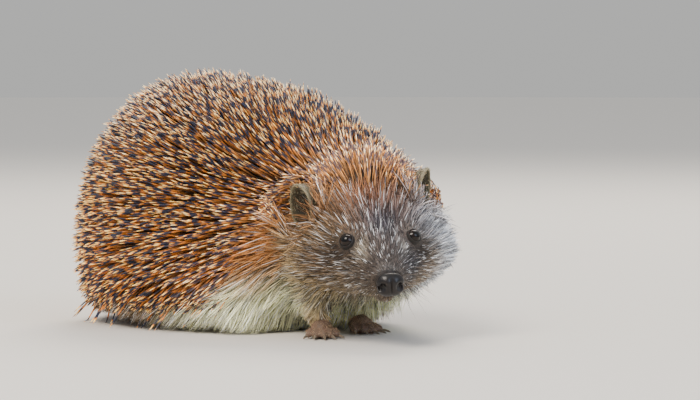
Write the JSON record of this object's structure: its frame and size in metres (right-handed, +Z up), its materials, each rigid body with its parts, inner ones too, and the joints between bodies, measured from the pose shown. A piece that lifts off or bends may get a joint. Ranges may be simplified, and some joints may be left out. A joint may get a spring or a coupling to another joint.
{
  "type": "hedgehog",
  "caption": "European hedgehog as a still, life-size museum model, crouched on all four feet with its head turned to its right.",
  "frame": {"origin": "on the floor, under the middle of the animal's overall box", "axes": "+X from the rump towards the chest, +Y to the animal's left, +Z up"},
  "size_m": [0.2126, 0.1266, 0.1149],
  "materials": {
    "spines": "satin",
    "face_fur": "matte",
    "pale_fur": "matte",
    "bare_skin": "matte",
    "nose_leather": "gloss",
    "eye": "gloss",
    "claw_horn": "satin"
  },
  "bodies": {
    "root": {"back": "spines", "belly": "pale_fur", "claw_front_left_1": "claw_horn", "claw_front_left_2": "claw_horn", "claw_front_left_3": "claw_horn", "claw_front_left_4": "claw_horn", "claw_front_left_5": "claw_horn", "claw_front_right_1": "claw_horn", "claw_front_right_2": "claw_horn", "claw_front_right_3": "claw_horn", "claw_front_right_4": "claw_horn", "claw_front_right_5": "claw_horn", "claw_hind_left_1": "claw_horn", "claw_hind_left_2": "claw_horn", "claw_hind_left_3": "claw_horn", "claw_hind_left_4": "claw_horn", "claw_hind_left_5": "claw_horn", "claw_hind_right_1": "claw_horn", "claw_hind_right_2": "claw_horn", "claw_hind_right_3": "claw_horn", "claw_hind_right_4": "claw_horn", "claw_hind_right_5": "claw_horn", "crown": "spines", "ear_left": "bare_skin", "ear_right": "bare_skin", "eye_left": "eye", "eye_right": "eye", "foot_front_left": "bare_skin", "foot_front_right": "bare_skin", "foot_hind_left": "bare_skin", "foot_hind_right": "bare_skin", "head": "face_fur", "leg_front_left": "pale_fur", "leg_front_right": "pale_fur", "leg_hind_left": "pale_fur", "leg_hind_right": "pale_fur", "lower_jaw": "face_fur", "muzzle": "face_fur", "nape": "spines", "nose": "nose_leather", "tail": "bare_skin", "throat": "pale_fur"}
  },
  "joints": []
}
